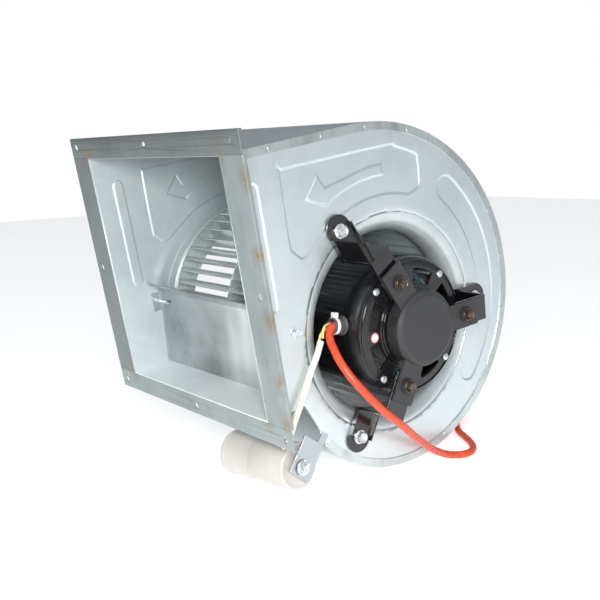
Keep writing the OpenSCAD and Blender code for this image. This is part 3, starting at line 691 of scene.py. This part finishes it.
def plate_part():
    """Grid of the plate in (y, z), finer along the pressed edges, lifted into x."""
    shapes = [smooth_loop(POCKET, 4), rib_outline(), slot_outline()]
    inset = 1.2
    outline = [(-175, 209.88 - inset)]
    outline += [polar(scroll_at(90 + FLOW - 2 * i) - inset, 90 + FLOW - 2 * i)
                for i in range(118)]
    outline += [(-116.8, -73.6), (-128.7, -46), (-175, -46)]
    hole = [polar(MOUTH_R, 3 * i) for i in range(120)]
    cloud = []
    for poly in shapes + [ARROW]:
        for off in (-1.9, -1.1, -0.4, 0.4, 1.1, 1.9):
            cloud += spread(poly, 1.6, off)
    step = 4.0
    gy, gz = np.meshgrid(np.arange(-175, 205, step), np.arange(-165, 212, step))
    gy = gy + (np.arange(gy.shape[0])[:, None] % 2) * step / 2
    grid = np.stack([gy.ravel(), gz.ravel()], 1)
    away = np.ones(len(grid), bool)
    for poly in shapes + [ARROW]:
        away &= np.abs(distance_to(grid, poly)) > 3.2
    pts = np.concatenate([grid[away], np.array(cloud)])
    keep = (distance_to(pts, outline) > 0.8) & (distance_to(pts, hole) < -0.8)
    pts = pts[keep]
    # one point at most in each small square
    key = np.unique(np.round(pts / 0.45).astype(int), axis=0, return_index=True)[1]
    pts = pts[np.sort(key)]
    fixed = outline + hole
    edges = [(i, (i + 1) % len(outline)) for i in range(len(outline))]
    edges += [(len(outline) + i, len(outline) + (i + 1) % len(hole)) for i in range(len(hole))]
    coords = [Vector(p) for p in fixed] + [Vector(p) for p in pts]
    res = geometry.delaunay_2d_cdt(coords, edges, [], 0, 1e-5)
    v = np.array([tuple(p) for p in res[0]])
    f = np.array([t for t in res[2] if len(t) == 3])
    mid = v[f].mean(1)
    f = f[inside_of(mid, outline) & ~inside_of(mid, hole)]
    drop = np.full(len(v), -9.0)
    arrow_d = distance_to(v, ARROW)
    for i, poly in enumerate(shapes):
        d = distance_to(v, poly)
        if i == 0:
            d = np.minimum(d, -arrow_d)
        drop = np.maximum(drop, d)
    t = np.clip((drop + 1.3) / 2.2, 0, 1)
    depth = SHEET * t * t * (3 - 2 * t)
    # the start of the bend into the inlet
    r = np.hypot(v[:, 0], v[:, 1])
    lip = np.clip((119 - r) / 4, 0, 1)
    x = HALF_WIDTH - depth - 0.5 * lip * lip
    verts = np.column_stack([x, v[:, 0], v[:, 1]])
    return verts.tolist(), [tuple(int(i) for i in t) for t in f]


def plate_object(name, node_name, way, look):
    verts, faces = plate_part()
    ob = mesh_object(name, [(way * x, y, z) for x, y, z in verts], faces, STAND, sharp=60)
    if sum(p.normal.x for p in ob.data.polygons) * way < 0:
        ob.data.flip_normals()
    solid = ob.modifiers.new("sheet", "SOLIDIFY")
    solid.thickness = SHEET * MM
    solid.offset = -1
    paint(ob, look)
    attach(ob, "housing")
    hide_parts(node_name)


plate_object("pressed_plate_near", "side_plate_near", 1, "plate")
plate_object("pressed_plate_far", "side_plate_far", -1, "inner")


# ---------- turned and headed pieces ----------
def piece(name, parts, look, replaced=(), place=STAND, sharp=35):
    """One object on the housing, made of several closed parts."""
    verts, faces = join_parts(parts)
    ob = mesh_object(name, verts, faces, place, sharp)
    paint(ob, look)
    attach(ob, "housing")
    if replaced:
        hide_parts(*replaced)


def ring_stack(rows, count=72):
    """Rings along X; each row is x and a radius or a function of the angle."""
    verts = []
    for x, r in rows:
        for k in range(count):
            a = 2 * math.pi * k / count
            rr = r(a) if callable(r) else r
            verts.append((x, rr * math.cos(a), rr * math.sin(a)))
    return verts, quad_rows(len(rows), count)


def hex_radius(flat, turn, limit=math.inf):
    """Radius of a hexagon as a function of the angle, cut off at a limit."""
    def radius(a):
        b = (a + turn) % (math.pi / 3) - math.pi / 6
        return min(flat / math.cos(b), limit)
    return radius


def hex_head(x, h, across, turn=0.0):
    """Hexagon head with a chamfered crown and a shallow dish."""
    flat = across / 2
    rows = [(x, 0.0), (x, hex_radius(flat, turn)), (x + h * 0.72, hex_radius(flat, turn)),
            (x + h * 0.86, hex_radius(flat, turn, flat * 1.09)),
            (x + h, hex_radius(flat, turn, flat * 0.98)), (x + h, flat * 0.74),
            (x + h - 0.5, flat * 0.62), (x + h - 0.6, 0.0)]
    return ring_stack(rows)


def washer(x, h, outer, inner):
    e = 0.25    # broken edge
    prof = [(inner, x), (outer - e, x), (outer, x + e), (outer, x + h - e), (outer - e, x + h),
            (inner, x + h)]
    return lathe(prof, 64, closed=True)


def threaded(x0, x1, r, pitch=1.25):
    """Threaded shank with rings for its thread."""
    prof = [(0, x0), (r - 0.5, x0)]
    x = x0 + 0.3
    while x < x1 - 0.4:
        prof += [(r - 0.45, x), (r, x + pitch / 2)]
        x += pitch
    prof += [(r - 0.5, x1), (0, x1)]
    return lathe(prof, 36)


def cross_head(x, r, h):
    """Pan head with a cross recess."""
    rings, cols = 16, 64
    verts, faces = [], []
    for i in range(rings + 1):
        for k in range(cols):
            rr, a = r * i / rings, 2 * math.pi * k / cols + 0.4
            u, v = rr * math.cos(a), rr * math.sin(a)
            top = h * math.sqrt(max(1 - (rr / (r * 1.12)) ** 2, 0.0)) + 0.1
            arm = min(abs(u), abs(v)) < 0.17 * r and max(abs(u), abs(v)) < 0.6 * r
            verts.append((x + (top - 0.42 * h if arm else top), u, v))
    for i in range(rings):
        for k in range(cols):
            m = (k + 1) % cols
            faces.append((i * cols + k, (i + 1) * cols + k, (i + 1) * cols + m, i * cols + m))
    base = len(verts)
    for k in range(cols):
        a = 2 * math.pi * k / cols + 0.4
        verts.append((x, r * math.cos(a), r * math.sin(a)))
    for k in range(cols):
        m = (k + 1) % cols
        faces.append((rings * cols + k, base + k, base + m, rings * cols + m))
    return verts, faces


def spun(part, angle, radius):
    """Puts a part that lies along X at an angle and radius round the shaft."""
    m = Matrix.Rotation(math.radians(angle), 4, "X") @ Matrix.Translation((0, radius, 0))
    return moved(part, m)


def ring_profile(way):
    """Bell mouth of the inlet: crease, quarter round and straight throat."""
    inside_r = BEND_R - SHEET
    bend_x = HALF_WIDTH - SHEET - BEND_R
    outer, inner = [], []
    for k in range(13):
        a = math.radians(90 - 7.5 * k)
        c, s = math.cos(a), math.sin(a)
        outer.append((MOUTH_R - BEND_R * c, bend_x + BEND_R * s))
        inner.append((MOUTH_R - inside_r * c, bend_x + inside_r * s))
    edge_r, edge_x = MOUTH_R + 2.5, HALF_WIDTH - SHEET
    line = [(edge_r, edge_x)] + outer
    line += [(THROAT_R, 106.0), (THROAT_R + 0.6, 105.6), (THROAT_R + SHEET, 106.0)]
    line += inner[::-1] + [(edge_r, edge_x - SHEET)]
    return [(r, way * x) for r, x in line]


for name, way, look in (("near", 1, "ring"), ("far", -1, "inner")):
    piece("bell_mouth_" + name, [lathe(ring_profile(way), 144, closed=True)], look,
          ("inlet_ring_" + name,), sharp=60)



def bolt_set(name, look, node_name, angles, radius, parts):
    piece(name, [spun(p, a, radius) for a in angles for p in parts], look, (node_name,))


bolt_set("leg_bolt_set", "zinc", "leg_bolts", LEG_ANGLES, LEG_BOLT_R,
         (washer(136.5, 1.5, 7.5, 3.1), hex_head(138, 5, 10.9, 0.3), threaded(123.5, 138, 3)))
bolt_set("spider_bolt_set", "bronze", "spider_bolts", LEG_ANGLES,
         SPIDER_BOLT_R,
         (washer(183, 1.2, 6.5, 3.1), hex_head(184.2, 4.8, 9.35, 0.1), threaded(166.5, 184, 3)))
bolt_set("through_bolt_set", "zinc", "motor_through_bolts", THROUGH_ANGLES,
         THROUGH_BOLT_R,
         (cross_head(BELL_FACE, 3.7, 2.3), rod(44, BELL_FACE + 0.2, 2, 0.2),
          hex_head(44.8, 3.2, 6.9)))


def bead(r, x, size):
    """Round ring about the shaft."""
    return lathe([(r + size * math.cos(math.radians(t)), x + size * math.sin(math.radians(t)))
                  for t in range(0, 360, 30)], 96, closed=True)


# ridges pressed into the motor's end bell
piece("bell_ridges", [bead(r, BELL_FACE - 0.1, 0.9) for r in (43.0, 39.6, 68.2)], "gloss")


# ---------- winding ends ----------
def lacing(a, i):
    """Small bulges round the ring, from the slots and the wire."""
    return 0.5 * math.sin(24 * a) + 0.3 * math.sin(61 * a + i)


def ring_section(x_base, way):
    """Section of the laced ring, a little flattened at its two ends."""
    out = []
    for t in range(0, 360, 20):
        c, s = math.cos(math.radians(t)), math.sin(math.radians(t))
        width = 6.0 * (1.0 if abs(s) < 0.9 else 0.9)
        out.append((52.4 + width * c, x_base + way * (6.4 + 6.3 * s)))
    return out


def winding_ends():
    """A laced ring with bundles at each end of the core, and loose copper turns."""
    bundles, turns = [], []
    for x_base, way in ((128.2, 1), (81.8, -1)):
        bundles.append(lathe(ring_section(x_base, way), 144, closed=True, wobble=lacing))
        for k in range(24):
            first = 15 * k + random.uniform(-3, 3)
            path = []
            for j in range(9):
                t = j / 8
                r = 50.0 + 5.4 * t + random.uniform(-0.2, 0.2)
                x = x_base + way * (10.5 + 4.2 * math.sin(math.pi * t))
                path.append((x, *polar(r, first + 52 * t)))
            bundles.append(tube_part(catmull(path, 2), 1.7, 10))
        for k in range(30):
            first = 12 * k + random.uniform(-4, 4)
            lift = random.uniform(2.0, 7.5)
            path = []
            for j in range(8):
                t = j / 7
                r = 47.5 + 9 * t + 1.5 * math.sin(3 * math.pi * t + k)
                x = x_base + way * (11.5 + lift * math.sin(math.pi * t))
                path.append((x, *polar(r, first + random.uniform(18, 22) * t)))
            turns.append(tube_part(catmull(path, 2), 0.55, 8))
    return bundles, turns


winding_bundles, winding_turns = winding_ends()
piece("winding_bundles", winding_bundles, "winding", ("stator_windings",))
piece("winding_turns", winding_turns, "copper")

# ---------- capacitor, dot and bush ----------
# the can lies along X under the outlet; (radius, x) from its stud end
CAP = (STAND @ Matrix.Translation((131, -146.8, -105.172))
       @ Matrix.Rotation(math.radians(6), 4, "Z") @ Matrix.Rotation(math.radians(-2.6), 4, "Y"))
CAN = [(0, -0.9), (18.6, -0.9), (19.6, -0.5), (20.4, 0.0), (22.9, 0.0), (23.5, -0.3),
            (23.8, -0.9), (23.8, -51.8), (23.65, -52.2), (23.4, -52.4), (23.4, -90.6),
            (23.5, -90.9), (23.8, -91.2), (23.8, -94.0), (23.5, -94.7), (22.9, -95.0),
            (20.6, -95.0), (19.8, -94.5), (0, -94.5)]
piece("capacitor_can", [lathe(CAN, 128)], "white", ("capacitor_body",),
      place=CAP, sharp=50)
piece("capacitor_stud", [threaded(-0.9, 12.5, 3.95)], "zinc", place=CAP)

DOT = (STAND @ Matrix.Rotation(math.radians(DOT_ANGLE), 4, "X")
       @ Matrix.Translation((0, DOT_R, 0)))
DISC = [(0, BELL_FACE), (5.3, BELL_FACE), (5.4, BELL_FACE + 0.15), (5.3, BELL_FACE + 0.4),
        (0, BELL_FACE + 0.4)]
piece("inspection_dot", [lathe(DISC, 72)], "sticker", ("bell_sticker",),
      place=DOT)

# rubber bush of the supply cable: (radius, distance from the shaft)
BUSH = (STAND @ Matrix.Rotation(math.radians(BUSH_ANGLE), 4, "X")
        @ Matrix.Translation((135.5, 0, 0)) @ Matrix.Rotation(math.radians(90), 4, "Z"))
BUSH_LINE = [(6.6, 69.6), (7.5, 69.6), (7.8, 69.9), (7.8, 71.1), (9.7, 71.1), (10.0, 71.5),
             (10.0, 72.4), (9.6, 73.3), (8.8, 73.9), (7.8, 74.1), (7.8, 75.6), (7.3, 76.1),
             (7.3, 76.7), (7.8, 77.2), (7.8, 78.2), (7.3, 78.7), (7.3, 79.3), (7.7, 79.8),
             (7.7, 84.0), (7.3, 84.6), (7.7, 85.2), (7.4, 85.8), (6.9, 86.0), (6.6, 85.7)]
piece("cable_bush", [lathe(BUSH_LINE, 72, closed=True)], "grommet",
      ("cable_grommet",), place=BUSH, sharp=60)

# ---------- cords ride with the housing ----------
for ob, look, slot, names in ((cable, "cable", "orange_cable",
                               ("power_cable", "cable_coil", "cable_tail")),
                              (sleeve, "sleeve", "white_sleeve", ("capacitor_lead",)),
                              (wire_a, "yellow", "yellow_wire", ("motor_lead_wires",)),
                              (wire_b, "yellow", "yellow_wire", ("motor_lead_wires",))):
    ob.data.materials.append(M[look])
    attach(ob, "housing")
    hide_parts(*names)

length_of(cable)
length_of(sleeve)
length_of(wire_a)
length_of(wire_b)


# ---------- studio ----------
def make_floor():
    """Pale paper that glows a little, so that it comes out near white."""
    mesh = bpy.data.meshes.new("floor")
    n, half = 24, 4.0
    verts = [(-half + 2 * half * i / n, -half + 2 * half * j / n, -0.0004)
             for j in range(n + 1) for i in range(n + 1)]
    faces = [(j * (n + 1) + i, j * (n + 1) + i + 1, (j + 1) * (n + 1) + i + 1,
              (j + 1) * (n + 1) + i) for j in range(n) for i in range(n)]
    mesh.from_pydata(verts, [], faces)
    floor = add_object("studio_floor", mesh)
    m = Mat("studio_paper", Roughness=0.9, Emission_Strength=0.56)
    m.b.inputs["Emission Color"].default_value = (1, 1, 1, 1)
    m.to("Base Color", m.ramp(m.noise(3, 2), [(0.3, (0.86, 0.86, 0.86)),
                                              (0.7, (0.89, 0.89, 0.89))]))
    mesh.materials.append(m.mat)


def area_light(name, place, target, size, power):
    data = bpy.data.lights.new(name, "AREA")
    data.shape = "RECTANGLE"
    data.size, data.size_y = size
    data.energy = power
    ob = add_object(name, data)
    ob.location = place
    ob.rotation_euler = (Vector(target) - Vector(place)).to_track_quat("-Z", "Y").to_euler()


def make_world():
    """White behind the object; a dimmer grey gradient lights it and is reflected."""
    world = bpy.data.worlds.new("studio")
    scene.world = world
    world.use_nodes = True
    t = world.node_tree
    t.nodes.clear()
    coord = t.nodes.new("ShaderNodeTexCoord")
    dot = t.nodes.new("ShaderNodeVectorMath")
    dot.operation = "DOT_PRODUCT"
    dot.inputs[1].default_value = Vector((-0.62, -0.76, 0.05)).normalized()
    t.links.new(coord.outputs["Generated"], dot.inputs[0])
    ramp = t.nodes.new("ShaderNodeValToRGB")
    ramp.color_ramp.elements[0].position = 0.35
    ramp.color_ramp.elements[0].color = (0.92, 0.96, 1.0, 1)
    ramp.color_ramp.elements[1].position = 0.95
    ramp.color_ramp.elements[1].color = (0.30, 0.33, 0.35, 1)
    t.links.new(dot.outputs["Value"], ramp.inputs["Fac"])
    soft = t.nodes.new("ShaderNodeBackground")
    soft.inputs["Strength"].default_value = 0.38
    t.links.new(ramp.outputs["Color"], soft.inputs["Color"])
    white = t.nodes.new("ShaderNodeBackground")
    white.inputs["Color"].default_value = (1, 1, 1, 1)
    white.inputs["Strength"].default_value = 1.0
    path = t.nodes.new("ShaderNodeLightPath")
    mix = t.nodes.new("ShaderNodeMixShader")
    t.links.new(path.outputs["Is Camera Ray"], mix.inputs["Fac"])
    t.links.new(soft.outputs["Background"], mix.inputs[1])
    t.links.new(white.outputs["Background"], mix.inputs[2])
    out = t.nodes.new("ShaderNodeOutputWorld")
    t.links.new(mix.outputs["Shader"], out.inputs["Surface"])


make_floor()
make_world()
# name, place, target, width and height in metres, and watts
area_light("flash", (0.80, -0.63, 0.425), (0, 0, 0.16), (0.30, 0.22), 8.5)
area_light("ceiling", (0.2, -0.3, 2.2), (0, 0, 0.15), (1.6, 1.6), 8)
scene.view_settings.view_transform = "Standard"
scene.view_settings.look = "None"
